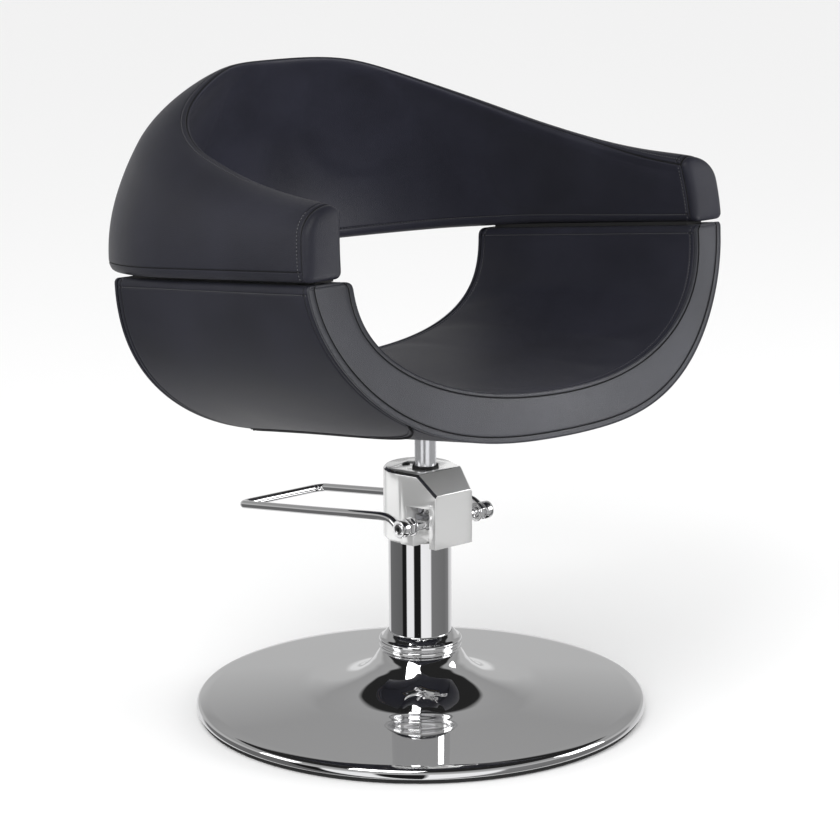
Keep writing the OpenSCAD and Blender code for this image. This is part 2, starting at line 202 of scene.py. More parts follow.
def slab(name, front, back, keep=None):
    """Closed panel between two grids of the same size; keep leaves out the faces of a hole."""
    nu, nv = front.shape[:2]
    keep = np.ones((nu - 1, nv - 1), bool) if keep is None else keep
    ids = np.arange(nu * nv).reshape(nu, nv)
    n = nu * nv
    faces = []
    for i, j in zip(*np.nonzero(keep)):
        a, b, c, d = ids[i, j], ids[i + 1, j], ids[i + 1, j + 1], ids[i, j + 1]
        faces += [(a, b, c, d), (d + n, c + n, b + n, a + n)]
        for p, q, i2, j2 in ((a, b, i, j - 1), (b, c, i + 1, j), (c, d, i, j + 1), (d, a, i - 1, j)):
            if not (0 <= i2 < nu - 1 and 0 <= j2 < nv - 1 and keep[i2, j2]):
                faces.append((q, p, p + n, q + n))
    return new_piece(name, np.concatenate([front.reshape(-1, 3), back.reshape(-1, 3)]), faces)


def loft(name, loops):
    """Closed skin through loops that each hold the same number of points."""
    m = len(loops[0])
    faces = []
    for i in range(len(loops) - 1):
        for j in range(m):
            k = (j + 1) % m
            faces.append((i * m + j, (i + 1) * m + j, (i + 1) * m + k, i * m + k))
    faces += [tuple(range(m)), tuple(range((len(loops) - 1) * m, len(loops) * m))]
    return new_piece(name, np.concatenate(loops), faces)


def inflate(piece, front, free, cap):
    """Cloth pressure under the leather: only the free points of the front face may swell."""
    start = np.array([v.co for v in piece.data.vertices])
    pins = piece.vertex_groups.new(name="pins")
    held = np.ones(len(start), bool)
    held[:free.size] = ~free.ravel()
    pins.add([int(k) for k in np.nonzero(held)[0]], 1.0, "REPLACE")
    cloth = piece.modifiers.new("cloth", "CLOTH")
    s = cloth.settings
    s.quality = 6
    s.mass = 0.4
    s.tension_stiffness = s.compression_stiffness = 35
    s.shear_stiffness = 20
    s.bending_stiffness = 8
    s.vertex_group_mass = "pins"
    s.use_pressure = True
    s.uniform_pressure_force = 4
    s.effector_weights.gravity = 0
    cloth.collision_settings.use_collision = False
    scene = bpy.context.scene
    for step in range(1, 21):
        scene.frame_set(step)
    got = piece.evaluated_get(bpy.context.evaluated_depsgraph_get())
    moved = np.array([v.co for v in got.data.vertices])
    piece.modifiers.remove(cloth)
    piece.vertex_groups.remove(pins)
    scene.frame_set(1)
    shift = moved - start
    far = np.linalg.norm(shift, axis=1, keepdims=True)
    shift *= cap * np.tanh(far / cap) / np.maximum(far, 1e-9)
    shift[held] = 0
    piece.data.vertices.foreach_set("co", (start + shift).ravel())
    piece.data.update()
    return front + shift[:free.size].reshape(front.shape)


# ------------------------------------------------------------------ the band
def top_h(y):
    t = (y - FRONT_Y) / (BEND_Y + BAND_D - FRONT_Y) * 0.875
    return ARM_H + (BACK_H - ARM_H) * ease(t) / ease(0.875) - DROOP * np.exp(-(y - FRONT_Y) / 0.03)


def band_plan():
    """Dense outer plan line from the left arm round the back to the right arm."""
    a = np.radians(np.linspace(0, 90, 240))
    x = BAND_X * np.maximum(np.cos(a), 0) ** (2 / BAND_N)
    y = BEND_Y + BAND_D * np.sin(a) ** (2 / BAND_N)
    half = np.concatenate([[[BAND_X, SEAM_Y + 0.0003]], np.stack([x, y], 1)])
    return np.concatenate([half, half[::-1][1:] * [-1, 1]])


def plan_normal(p):
    gx = np.sign(p[:, 0]) * (np.abs(p[:, 0]) / BAND_X) ** (BAND_N - 1) / BAND_X
    gy = (np.maximum(p[:, 1] - BEND_Y, 0) / BAND_D) ** (BAND_N - 1) / BAND_D
    n = np.stack([gx, gy], 1)
    return n / np.linalg.norm(n, axis=1, keepdims=True)


class Section:
    """The band's cross section at one place, as [inward offset, height] lines."""

    def __init__(self, y, m):
        s = ease((y - FRONT_Y) / 0.36)
        self.t = float(top_h(y))
        self.lean_k = LEAN + CORNER_LEAN * 2 * abs(m[0] * m[1])
        self.wall = blend(ARM_T, BACK_T, s)
        self.roll_w = blend(ARM_ROLL[0], BACK_ROLL[0], s)
        self.roll_h = blend(ARM_ROLL[1], BACK_ROLL[1], s)
        self.seam = blend(86, 14, ease((y - FRONT_Y) / 0.22))
        self.bow = blend(1.45, 2.0, ease((y - FRONT_Y) / 0.15))

    def lean(self, h):
        return self.lean_k * (h / 0.2) ** 2

    def roll(self):
        """The rounded top, from the outer wall to where it turns level."""
        a = np.radians(np.linspace(4, 90, 22))
        h = self.t - self.roll_h + self.roll_h * np.sin(a)
        return np.stack([self.lean(h) + self.roll_w * (1 - np.cos(a)), h], 1)

    def shoulder(self, a0, a1, n=12):
        """The top's fall to the inner wall, between two angles: a bevel at the arms, round at the back."""
        a = np.radians(np.linspace(a0, a1, n))
        k = 2 / self.bow
        h = self.t - SHOULDER * (1 - np.maximum(np.cos(a), 0) ** k)
        return np.stack([self.lean(h) + self.roll_w + (self.wall - self.roll_w) * np.sin(a) ** k, h], 1)

    def outer(self):
        h = np.linspace(0.008, self.t - self.roll_h, 16)
        return np.concatenate([[[0.0268, -0.0015]], arc(0.0085, 0.007, 0.0085, -90, -180),
                               np.stack([self.lean(h), h], 1), self.roll(), self.shoulder(6, self.seam)])

    def inner(self):
        h = np.linspace(0.0085, self.t - SHOULDER, 26)
        return np.concatenate([[[0.0272, -0.0015]], arc(self.wall - 0.010, 0.0085, 0.010, -90, 0),
                               np.stack([self.wall + self.lean(h), h], 1), self.shoulder(88, self.seam)])

    def hidden(self, side):
        """The unseen back of a panel, against the plywood core and the other panel."""
        m = self.wall / 2 + 0.001 * side
        core = CORE_I if side else CORE_O
        low = CORE_H + 0.002
        end = self.shoulder(self.seam, self.seam, 1)[0] - [0.0012 if side else 0.0036, 0.0065]
        mid = self.t - 0.024
        return np.array([[0.0268 + 0.0004 * side, -0.0002], [core, -0.0002], [core, CORE_H],
                         [m + self.lean(low), low], [m + self.lean(mid), mid], end])


def band_panel(side):
    """Grids of the outer cover (side 0) or the inner lining (side 1)."""
    plan = band_plan()
    total = length(plan)
    u_stitch = 0.005 if side else STITCH
    em = edge_marks(SEAM_R, u_stitch)
    u = np.r_[em, spans([em[-1] + 0.005, total - em[-1] - 0.005], [126]), total - em[::-1]]
    p = along(plan, u)
    low = 0.031 if side else 0.036
    lead = np.array([0.0, 0.007, 0.013, 0.019, 0.024] + fold_marks(low))
    tail = edge_marks(SEAM_R) if side else edge_marks(SEAM_R, STITCH)
    face, back, top = [], [], []
    for q, m in zip(p, plan_normal(p)):
        sec = Section(q[1], m)
        path, rear = (sec.inner() if side else sec.outer()), sec.hidden(side)
        size = length(path)
        v = np.r_[lead, spans([lead[-1] + 0.004, size - tail[-1] - 0.004], [26]), size - tail[::-1]]
        s, w = along(path, v), along(rear, v / size * length(rear))
        face.append(seat_pt(q[0] - m[0] * s[:, 0], q[1] - m[1] * s[:, 0], s[:, 1]))
        back.append(seat_pt(q[0] - m[0] * w[:, 0], q[1] - m[1] * w[:, 0], w[:, 1]))
        top.append(size - v)
    face, back, top = np.array(face), np.array(back), np.array(top)
    n = face_normals(face, bool(side))
    ends = np.minimum(u, total - u)[:, None] + 0 * top
    bottom = np.broadcast_to(np.r_[lead, np.full(top.shape[1] - len(lead), 1.0)], top.shape)
    depth = np.maximum(sink(ends, SEAM_R, u_stitch), sink(top, SEAM_R, *([] if side else [STITCH])))
    depth = depth + fold(bottom - low)
    front = face - n * depth[..., None]
    free = (ends > u_stitch + 0.004) & (top > STITCH + 0.005) & (bottom > low + 0.004)
    rows = {"end": [np.argmin(abs(u - u_stitch)), np.argmin(abs(total - u - u_stitch))],
            "top": np.argmin(abs(top[0] - STITCH)), "low": len(lead) - 4}
    return front, back, n, free, rows


def stitches(name, lines):
    """Rows of short thread loops along lines of [points, normals]."""
    pitch, bite, r = 0.0042, 0.0030, 0.00062
    ring = [(math.cos(a), math.sin(a)) for a in np.linspace(0, 2 * math.pi, 6, endpoint=False)]
    shape = ((-0.5, 0.3), (-0.36, 0.85), (0.0, 1.0), (0.36, 0.85), (0.5, 0.3))
    m = len(ring)
    verts, faces = [], []
    for line, normal in lines:
        size = length(line)
        count = int(size / pitch)
        at = (np.arange(count) + 0.5) * size / count
        mid = along(line, at)
        ahead = along(line, np.minimum(at + bite / 2, size))
        behind = along(line, np.maximum(at - bite / 2, 0))
        up = along(np.concatenate([line, normal], 1), at)[:, 3:]
        for c, d, n in zip(mid, ahead - behind, up):
            d = d / np.linalg.norm(d)
            b = np.cross(n, d)
            b /= np.linalg.norm(b)
            n = np.cross(d, b)
            base = len(verts)
            for f, w in shape:
                lift = r * (1.5 - 5.5 * f * f)
                for cx, cy in ring:
                    verts.append(c + d * f * bite + b * cx * r * w + n * (cy * r * w + lift))
            for i in range(len(shape) - 1):
                for j in range(m):
                    a, q = base + i * m, (j + 1) % m
                    faces.append((a + j, a + q, a + m + q, a + m + j))
            end = base + (len(shape) - 1) * m
            faces += [tuple(range(base, base + m)), tuple(range(end, end + m))]
    piece = new_piece(name, verts, faces)
    # the thread's lightened tone paints the glints on the loops
    piece.data.materials.append(THREAD)
    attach(piece, "seat")


def seam_shadow_lines(name, lines, r=0.0007, lift=0.0001):
    """Painted shadow: thin near-black tubes laid into the folds along lines of [points, normals], standing in
    for the shade in the seam grooves.
    """
    m = 8
    turn = np.linspace(0, 2 * math.pi, m, endpoint=False)
    verts, faces = [], []
    for line, normal in lines:
        d = np.gradient(line, axis=0)
        d /= np.linalg.norm(d, axis=1, keepdims=True) + 1e-12
        b = np.cross(normal, d)
        b /= np.linalg.norm(b, axis=1, keepdims=True) + 1e-12
        n = np.cross(d, b)
        base, count = sum(len(q) for q in verts), len(line)
        ring = line[:, None] + (b[:, None] * np.cos(turn)[None, :, None] * r
                                + n[:, None] * (np.sin(turn)[None, :, None] * r + lift))
        verts.append(ring.reshape(-1, 3))
        for i in range(count - 1):
            for j in range(m):
                q = (j + 1) % m
                a = base + i * m
                faces.append((a + j, a + q, a + m + q, a + m + j))
        end = base + (count - 1) * m
        faces += [tuple(range(base, base + m)), tuple(range(end, end + m))]
    piece = new_piece(name, np.concatenate(verts), faces)
    piece.data.materials.append(SHADE)
    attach(piece, "seat")


# ------------------------------------------------------------------ the tub
def super_u(x, d, px, py, count=260):
    """U curve from the +x rim down and up to the -x rim, in the seat's frame."""
    a = np.radians(np.linspace(0, 180, count))
    c = np.cos(a)
    return np.stack([x * np.sign(c) * np.abs(c) ** (2 / px),
                     RIM - d * np.maximum(np.sin(a), 0) ** (2 / py)], 1)


def outer_shape(s):
    return [blend(a, b, ease(s)) for a, b in zip(TUB_FRONT, TUB_REAR)]


def inner_shape(s, y):
    return [HOLLOW_X, 0.1525 - 0.068 * y, blend(2.3, 2.85, s), blend(2.3, 2.85, s)]


def rimmed(u, x, r, turn):
    """A U curve led over its rim by an arc of radius r, outwards (-1) or inwards (+1)."""
    low = u[u[:, 1] < RIM - r - 0.0002]
    cx = low[0, 0] + turn * r
    over = arc(cx, RIM - r, r, 90, 90 + turn * 90) if turn > 0 else arc(cx, RIM - r, r, 90, 0)
    start = np.concatenate([[[x, RIM]], over])
    return np.concatenate([start, low, start[::-1] * [-1, 1]])


def outer_u(s):
    shape = outer_shape(s)
    return rimmed(super_u(*shape), shape[0] - 0.0265, 0.006, -1)


def inner_u(s, y):
    return rimmed(super_u(*inner_shape(s, y)), HOLLOW_X + 0.0265, 0.011, 1)


def face_y(x):
    return -0.257 + 0.053 * np.minimum(1, np.abs(x) / 0.335) ** 1.3


def rear_local(h, y_world=REAR_Y):
    return (y_world - h * math.sin(TILT)) / math.cos(TILT)


def split_x(y):
    """Where the side covers meet the bottom cover: close in under the seat, wider at the front."""
    return 0.13 + 0.112 * np.exp(-(y + 0.242) / 0.11)


def station(path, x):
    """Distance along a U path where its low part passes a value of x."""
    s = np.r_[0, np.cumsum(np.linalg.norm(np.diff(path, axis=0), axis=1))]
    low = path[:, 1] < RIM - 0.03
    return float(np.interp(-x, -path[low][:, 0], s[low]))


def tub_panel(side):
    """Grids of the outer cover (side 0) or the seat lining (side 1)."""
    em = edge_marks(SEAM_R, STITCH)
    seam = np.array([-0.0076, -0.0068, -0.0052, -0.0044, -0.0036, -0.002, -0.001, 0])
    seam = np.r_[seam, -seam[-2::-1]]
    r_u = edge_marks(0.003)
    counts = [12, 12, 8]
    y_lo, y_hi = -0.2, 0.2
    past = em[-1] + 0.004
    knots = [y_lo + past, PLATE_Y0, PLATE_Y1, y_hi - past]
    base = np.r_[y_lo + em, spans(knots, counts), y_hi - em[::-1]]
    share = (base - y_lo) / (y_hi - y_lo)
    columns, du = [], []
    for s in share:
        y_mid = blend(-0.235, 0.215, s)
        path = inner_u(s, y_mid) if side else outer_u(s)
        size = length(path)
        if side:
            top = 0.0315
            u = np.r_[r_u, spans([r_u[-1] + 0.003, top - 0.003], [6]), fold_marks(top),
                      spans([top + 0.004, size - top - 0.004], [92]), size - np.array(fold_marks(top))[::-1],
                      spans([size - top + 0.003, size - r_u[-1] - 0.003], [6]), size - r_u[::-1]]
        else:
            top = 0.0345
            a, b = station(path, split_x(y_mid)), station(path, PLATE_X)
            half = np.r_[r_u, spans([r_u[-1] + 0.003, top - 0.003], [6]), fold_marks(top),
                         spans([top + 0.004, a - 0.011], [26]), a + seam, spans([a + 0.011, b], [8])]
            u = np.r_[half, spans([b, size - b], [14])[1:-1], size - half[::-1]]
        columns.append(along(path, u))
        du.append(np.minimum(u, size - u))
    grid, du = np.array(columns).transpose(1, 0, 2), np.array(du).T
    x, h = grid[..., 0], grid[..., 1]
    y = np.empty_like(x)
    for i in range(x.shape[0]):
        y0 = face_y(x[i]) + FACE_EDGE
        y1 = rear_local(h[i]) - FACE_EDGE
        a0, a1 = float(y0[0]), float(y1[-1])
        knots = [a0 + past, PLATE_Y0, PLATE_Y1, a1 - past]
        line = np.r_[a0 + em, spans(knots, counts), a1 - em[::-1]]
        y[i] = (line + (y0 - a0) * np.clip(1 - (line - a0) / 0.12, 0, 1)
                + (y1 - a1) * np.clip(1 - (a1 - line) / 0.12, 0, 1))
    dv = np.minimum(y - face_y(x) - FACE_EDGE, rear_local(h) - FACE_EDGE - y)
    face = seat_pt(x, y, h)
    n = face_normals(face, bool(side))
    depth = np.maximum(sink(du, 0.003), sink(dv, SEAM_R, STITCH)) + fold(du - top)
    free = (dv > STITCH + 0.005) & (du > top + 0.005)
    thick = 0.020 if side else 0.0115
    keep = None
    if not side:
        gap = np.abs(np.abs(x) - split_x(y))
        under = h < RIM - 0.05
        depth = depth + np.where(under, fold(gap, 0.0018, 0.0014) + fold(gap - 0.0044), 0)
        free &= ~(under & (gap < 0.009))
        centre = [(g[1:, 1:] + g[:-1, 1:] + g[1:, :-1] + g[:-1, :-1]) / 4 for g in (x, y, h)]
        hole = ((np.abs(centre[0]) < PLATE_X) & (centre[1] > PLATE_Y0) & (centre[1] < PLATE_Y1)
                & (centre[2] < RIM - 0.09))
        keep = ~hole
        free &= ~((np.abs(x) < PLATE_X + 0.01) & (y > PLATE_Y0 - 0.01) & (y < PLATE_Y1 + 0.01))
    front = face - n * depth[..., None]
    back = face - n * blend(0.005, thick, ease(dv / 0.03))[..., None]
    return front, back, n, free, keep, du, top, x, y


def facing_grid(rear):
    """U-shaped strip that closes the tub's front (0) or rear (1) edge."""
    s = 1 if rear else 0
    t = -0.0057 if rear else 0.0087
    r = 0.0025
    rows_at = (STITCH, 0.0055)
    outer, inner = super_u(*outer_shape(s), 900), super_u(*inner_shape(s, 0.215 if rear else -0.235), 900)
    top_o, top_i = 0.006, 0.011
    size = length(outer)
    em = edge_marks(r, 0.004)
    knots = [0.010, 0.10, size / 2, size - 0.10, size - 0.010]
    u = np.r_[em, spans(knots, [18, 60, 60, 18]), size - em[::-1]]
    du = np.minimum(u, size - u)
    f = u / size
    grid, dv = [], []
    ev0, ev1 = edge_marks(r, rows_at[0]), edge_marks(r, rows_at[1])
    for a, b, d in zip(along(outer, f * size), along(inner, f * length(inner)), du):
        lead = b - a
        w = float(np.linalg.norm(lead))
        # the corners of the strip's two top ends are rounded
        in_a = top_o - math.sqrt(max(top_o ** 2 - max(top_o - d, 0) ** 2, 0))
        in_b = top_i - math.sqrt(max(top_i ** 2 - max(top_i - d, 0) ** 2, 0))
        a2, b2 = a + lead / w * in_a, b - lead / w * in_b
        w2 = w - in_a - in_b
        v = np.r_[ev0, spans([ev0[-1] + 0.002, w2 - ev1[-1] - 0.002], [8]), w2 - ev1[::-1]]
        grid.append(a2 + (b2 - a2) * (v / w2)[:, None])
        dv.append(np.stack([v, w2 - v], 1))
    grid, dv = np.array(grid), np.array(dv)
    x, h = grid[..., 0], grid[..., 1]
    y = rear_local(h) if rear else face_y(x)
    face = seat_pt(x, y, h)
    n = face_normals(face, bool(rear))
    near = dv.min(-1)
    crown = (0.0008 if rear else 0.0014) * np.sin(np.pi / 2 * np.clip(near / 0.026, 0, 1))
    depth = np.maximum(np.maximum(sink(dv[..., 0], r, rows_at[0]), sink(dv[..., 1], r, rows_at[1])),
                       sink(du, r, 0.004)[:, None])
    front = face - n * (depth - crown)[..., None]
    thin = FACE_EDGE - 0.0003
    tuck = ease((near - 0.004) / 0.010)
    back = seat_pt(x, y + math.copysign(1, t) * blend(thin, abs(t), tuck), h)
    rows = [int(np.argmin(abs(dv[70, :, 0] - rows_at[0]))), int(np.argmin(abs(dv[70, :, 1] - rows_at[1])))]
    return front, back, n, rows


# ------------------------------------------------------------------ arm caps
def cap_sides():
    """The arm end's outline as four sides that meet in the middle of its rounded corners."""
    sec = Section(FRONT_Y, (1.0, 0.0))
    roll, over = sec.roll(), sec.shoulder(6, 90, 16)
    h = np.linspace(0.0090, sec.t - sec.roll_h, 9)
    k = sec.wall + sec.lean(h)
    q = len(roll) // 2
    low_o = arc(0.0085, 0.0070, 0.0085, -90, -180, 11)
    low_i = arc(sec.wall - 0.0095, 0.0080, 0.0095, -90, 0, 11)
    outer = np.concatenate([low_o[5:], np.stack([sec.lean(h), h], 1), roll[:q + 1]])
    top = np.concatenate([roll[q:], over[:10]])
    h = np.linspace(0.0095, sec.t - SHOULDER - 0.0005, 9)
    inner = np.concatenate([low_i[5:], np.stack([sec.wall + sec.lean(h), h], 1), over[9:][::-1]])
    bottom = np.concatenate([low_o[:6][::-1], low_i[:6]])
    return outer, top, inner, bottom


def cap_marks(size, a, b, n):
    """Shares of a length with close marks over the rounding a at its start and b at its end."""
    k = np.array([0, 0.06, 0.16, 0.3, 0.5, 0.74, 1.0])
    return np.r_[k * a, np.linspace(a, size - b, n + 2)[1:-1], size - k[::-1] * b] / size


def arm_cap(name, side):
    """Domed end cap: a grid over the arm's end, then loops back into the seam."""
    outer, top, inner, bottom = cap_sides()
    r_o, r_i, r_t, r_b = 0.0125, 0.0080, 0.0200, 0.0085
    wide, tall = 0.050, 0.082
    u, v = cap_marks(wide, r_o, r_i, 8), cap_marks(tall, r_b, r_t, 14)
    o, i = along(outer, v * length(outer)), along(inner, v * length(inner))
    b, t = along(bottom, u * length(bottom)), along(top, u * length(top))
    uu, vv = u[:, None, None], v[None, :, None]
    grid = ((1 - uu) * o[None] + uu * i[None] + (1 - vv) * b[:, None] + vv * t[:, None]
            - (1 - uu) * (1 - vv) * b[0] - uu * (1 - vv) * b[-1] - (1 - uu) * vv * t[0] - uu * vv * t[-1])

    def rise(d, r):
        return np.sqrt(1 - (1 - np.clip(d / r, 0, 1)) ** 2)

    w = np.linalg.norm(i - o, axis=1)[None, :]
    tall_u = np.linalg.norm(t - b, axis=1)[:, None]
    share = (rise(u[:, None] * w, r_o) * rise((1 - u[:, None]) * w, r_i)
             * rise(v[None] * tall_u, r_b) * rise((1 - v[None]) * tall_u, r_t))
    dome = np.clip(16 * (u * (1 - u))[:, None] * (v * (1 - v))[None], 0, 1) ** 0.6
    edge = SEAM_Y - 0.0030
    y = edge - 0.0070 * share - 0.0034 * dome
    nu, nv = len(u), len(v)
    ids = np.arange(nu * nv).reshape(nu, nv)
    ring = np.concatenate([ids[0, :], ids[1:, -1], ids[-1, -2::-1], ids[-2:0:-1, 0]])
    line = grid.reshape(-1, 2)[ring]
    tangent = np.roll(line, -1, axis=0) - np.roll(line, 1, axis=0)
    inward = np.stack([tangent[:, 1], -tangent[:, 0]], 1)
    inward /= np.linalg.norm(inward, axis=1, keepdims=True)

    def at(q, yy):
        return seat_pt(side * (BAND_X - q[..., 0]), yy + 0 * q[..., 0], q[..., 1])

    verts = [at(grid, y).reshape(-1, 3)]
    faces = [(ids[a, c], ids[a + 1, c], ids[a + 1, c + 1], ids[a, c + 1])
             for a in range(nu - 1) for c in range(nv - 1)]
    last, m = ring, len(ring)
    for inset, back in ((0.0, 0.0012), (0.0003, 0.0021), (0.0012, 0.0027), (0.0026, 0.0030), (0.0048, 0.0040),
                        (0.0060, 0.0090)):
        loop = np.arange(m) + sum(len(q) for q in verts)
        verts.append(at(line + inward * inset, edge + back))
        faces += [(last[k], loop[k], loop[(k + 1) % m], last[(k + 1) % m]) for k in range(m)]
        last = loop
    faces.append(tuple(last))
    return new_piece(name, np.concatenate(verts), faces, subdivide=1)


# ------------------------------------------------------------------ metal
def catmull(points, n=8):
    """Smooth line through the points."""
    p = np.asarray(points, float)
    p = np.concatenate([[2 * p[0] - p[1]], p, [2 * p[-1] - p[-2]]])
    out = []
    for a, b, c, d in zip(p, p[1:], p[2:], p[3:]):
        for t in np.linspace(0, 1, n, endpoint=False):
            out.append(0.5 * (2 * b + (c - a) * t + (2 * a - 5 * b + 4 * c - d) * t * t
                              + (3 * b - a - 3 * c + d) * t ** 3))
    return np.array(out + [p[-2]])


def lathe(name, profile, n=192):
    """Solid of revolution of a closed (r, z) profile."""
    profile = np.asarray(profile)
    m = len(profile)
    verts, faces = [], []
    for i, a in enumerate(np.linspace(0, 2 * math.pi, n, endpoint=False)):
        verts += [(r * math.cos(a), r * math.sin(a), z) for r, z in profile]
        for j in range(m):
            k, q = (j + 1) % m, (i + 1) % n
            faces.append((i * m + j, q * m + j, q * m + k, i * m + k))
    return new_piece(name, verts, faces)


def sharpen(piece, degrees):
    bm = bmesh.new()
    bm.from_mesh(piece.data)
    for e in bm.edges:
        e.smooth = len(e.link_faces) == 2 and e.calc_face_angle(0) < math.radians(degrees)
    bm.to_mesh(piece.data)
    bm.free()


def eased(node, width, cut=None, cut_width=0.0):
    """Copy of a CAD solid with its hard edges broken; cut picks edges that get a wider chamfer."""
    src = frame["nodes"][node]
    bm = bmesh.new()
    bm.from_mesh(src.data)
    bmesh.ops.remove_doubles(bm, verts=bm.verts, dist=1e-4)
    bmesh.ops.dissolve_limit(bm, angle_limit=math.radians(1), verts=bm.verts, edges=bm.edges)

    def hard():
        return [e for e in bm.edges if len(e.link_faces) == 2 and e.calc_face_angle(0) > math.radians(24)]

    if cut:
        pick = [e for e in hard() if cut((e.verts[0].co + e.verts[1].co) / 2)]
        bmesh.ops.bevel(bm, geom=pick, offset=cut_width, offset_type="OFFSET", segments=1, profile=0.5,
                        affect="EDGES", clamp_overlap=False)
        bmesh.ops.remove_doubles(bm, verts=bm.verts, dist=1e-4)
    bmesh.ops.bevel(bm, geom=hard(), offset=width, offset_type="OFFSET", segments=2, profile=0.5,
                    affect="EDGES", clamp_overlap=True)
    mesh = bpy.data.meshes.new(node + "_finished")
    bm.to_mesh(mesh)
    bm.free()
    mesh.polygons.foreach_set("use_smooth", [True] * len(mesh.polygons))
    piece = bpy.data.objects.new(node + "_finished", mesh)
    bpy.context.collection.objects.link(piece)
    sharpen(piece, 32)
    return piece


def darken(piece, mat, inside):
    """Second material on the faces whose centre passes the test."""
    piece.data.materials.append(mat)
    for f in piece.data.polygons:
        if inside(f.center, f.normal):
            f.material_index = 1


def tube(name, path, r, sides=28):
    """Round bar along a line, ends closed."""
    path = np.asarray(path)
    t = np.gradient(path, axis=0)
    t /= np.linalg.norm(t, axis=1, keepdims=True)
    u = np.cross(t, (0, 0, 1.0))
    u /= np.linalg.norm(u, axis=1, keepdims=True)
    w = np.cross(t, u)
    loops = []
    for p, a, b in zip(path, u, w):
        ang = np.linspace(0, 2 * math.pi, sides, endpoint=False)
        loops.append(p + r * (np.cos(ang)[:, None] * a + np.sin(ang)[:, None] * b))
    return loft(name, loops)


# ------------------------------------------------------------------ materials
def material(name, base, metallic=0.0, rough=0.5):
    m = bpy.data.materials.new(name)
    m.use_nodes = True
    b = m.node_tree.nodes["Principled BSDF"]
    b.inputs["Base Color"].default_value = (*base, 1)
    b.inputs["Metallic"].default_value = metallic
    b.inputs["Roughness"].default_value = rough
    return m, b


def put(tree, kind, **values):
    node = tree.nodes.new(kind)
    for key, value in values.items():
        if key in node.inputs:
            node.inputs[key].default_value = value
        else:
            setattr(node, key, value)
    return node


def leather(name, tint, rough, grain, level):
    """Fine-grained upholstery leather: pebbled bump, faint mottling and uneven gloss."""
    m, b = material(name, tint, 0, rough)
    t = m.node_tree
    link = t.links.new
    at = put(t, "ShaderNodeTexCoord")
    cells = put(t, "ShaderNodeTexVoronoi", feature="DISTANCE_TO_EDGE", Scale=600.0)
    fine = put(t, "ShaderNodeTexNoise", Scale=1500.0, Detail=3.0)
    broad = put(t, "ShaderNodeTexNoise", Scale=9.0, Detail=4.0)
    for tex in (cells, fine, broad):
        link(at.outputs["Object"], tex.inputs["Vector"])
    height = put(t, "ShaderNodeMath", operation="MULTIPLY_ADD")
    link(cells.outputs["Distance"], height.inputs[0])
    height.inputs[1].default_value = 1.6
    link(fine.outputs["Fac"], height.inputs[2])
    bump = put(t, "ShaderNodeBump", Strength=grain, Distance=0.0006)
    link(height.outputs[0], bump.inputs["Height"])
    link(bump.outputs["Normal"], b.inputs["Normal"])
    tone = put(t, "ShaderNodeValToRGB")
    tone.color_ramp.elements[0].position, tone.color_ramp.elements[1].position = 0.3, 0.75
    tone.color_ramp.elements[0].color = (*[c * 0.8 for c in tint], 1)
    tone.color_ramp.elements[1].color = (*[c * 1.25 for c in tint], 1)
    link(broad.outputs["Fac"], tone.inputs["Fac"])
    link(tone.outputs["Color"], b.inputs["Base Color"])
    gloss = put(t, "ShaderNodeMapRange")
    link(broad.outputs["Fac"], gloss.inputs["Value"])
    gloss.inputs["To Min"].default_value = rough - 0.05
    gloss.inputs["To Max"].default_value = rough + 0.06
    link(gloss.outputs["Result"], b.inputs["Roughness"])
    b.inputs["Sheen Weight"].default_value = 0.03
    b.inputs["Sheen Roughness"].default_value = 0.45
    b.inputs["Specular IOR Level"].default_value = level
    return m


def polished(name, tint, rough, spread, metallic=1.0):
    """Plated metal with faint wiping marks in its gloss."""
    m, b = material(name, tint, metallic, rough)
    t = m.node_tree
    link = t.links.new
    at = put(t, "ShaderNodeTexCoord")
    marks = put(t, "ShaderNodeTexNoise", Scale=38.0, Detail=6.0, Distortion=0.6)
    link(at.outputs["Object"], marks.inputs["Vector"])
    gloss = put(t, "ShaderNodeMapRange")
    link(marks.outputs["Fac"], gloss.inputs["Value"])
    gloss.inputs["To Min"].default_value = max(0.0, rough - spread)
    gloss.inputs["To Max"].default_value = rough + spread
    link(gloss.outputs["Result"], b.inputs["Roughness"])
    return m


def rough_surface(name, tint, rough, metallic=1.0, scale=300.0, strength=0.15):
    """Machined, cast, moulded or painted surface with a fine broken texture."""
    m, b = material(name, tint, metallic, rough)
    t = m.node_tree
    link = t.links.new
    at = put(t, "ShaderNodeTexCoord")
    tex = put(t, "ShaderNodeTexNoise", Scale=scale, Detail=4.0)
    link(at.outputs["Object"], tex.inputs["Vector"])
    bump = put(t, "ShaderNodeBump", Strength=strength, Distance=0.0005)
    link(tex.outputs["Fac"], bump.inputs["Height"])
    link(bump.outputs["Normal"], b.inputs["Normal"])
    gloss = put(t, "ShaderNodeMapRange")
    link(tex.outputs["Fac"], gloss.inputs["Value"])
    gloss.inputs["To Min"].default_value = rough * 0.8
    gloss.inputs["To Max"].default_value = min(1, rough * 1.2)
    link(gloss.outputs["Result"], b.inputs["Roughness"])
    return m


def wood(name):
    m, b = material(name, (0.5, 0.36, 0.2), 0, 0.6)
    t = m.node_tree
    link = t.links.new
    at = put(t, "ShaderNodeTexCoord")
    rings = put(t, "ShaderNodeTexWave", Scale=40.0, Distortion=6.0, Detail=3.0)
    link(at.outputs["Object"], rings.inputs["Vector"])
    tone = put(t, "ShaderNodeValToRGB")
    tone.color_ramp.elements[0].color = (0.36, 0.24, 0.12, 1)
    tone.color_ramp.elements[1].color = (0.56, 0.41, 0.24, 1)
    link(rings.outputs["Fac"], tone.inputs["Fac"])
    link(tone.outputs["Color"], b.inputs["Base Color"])
    return m


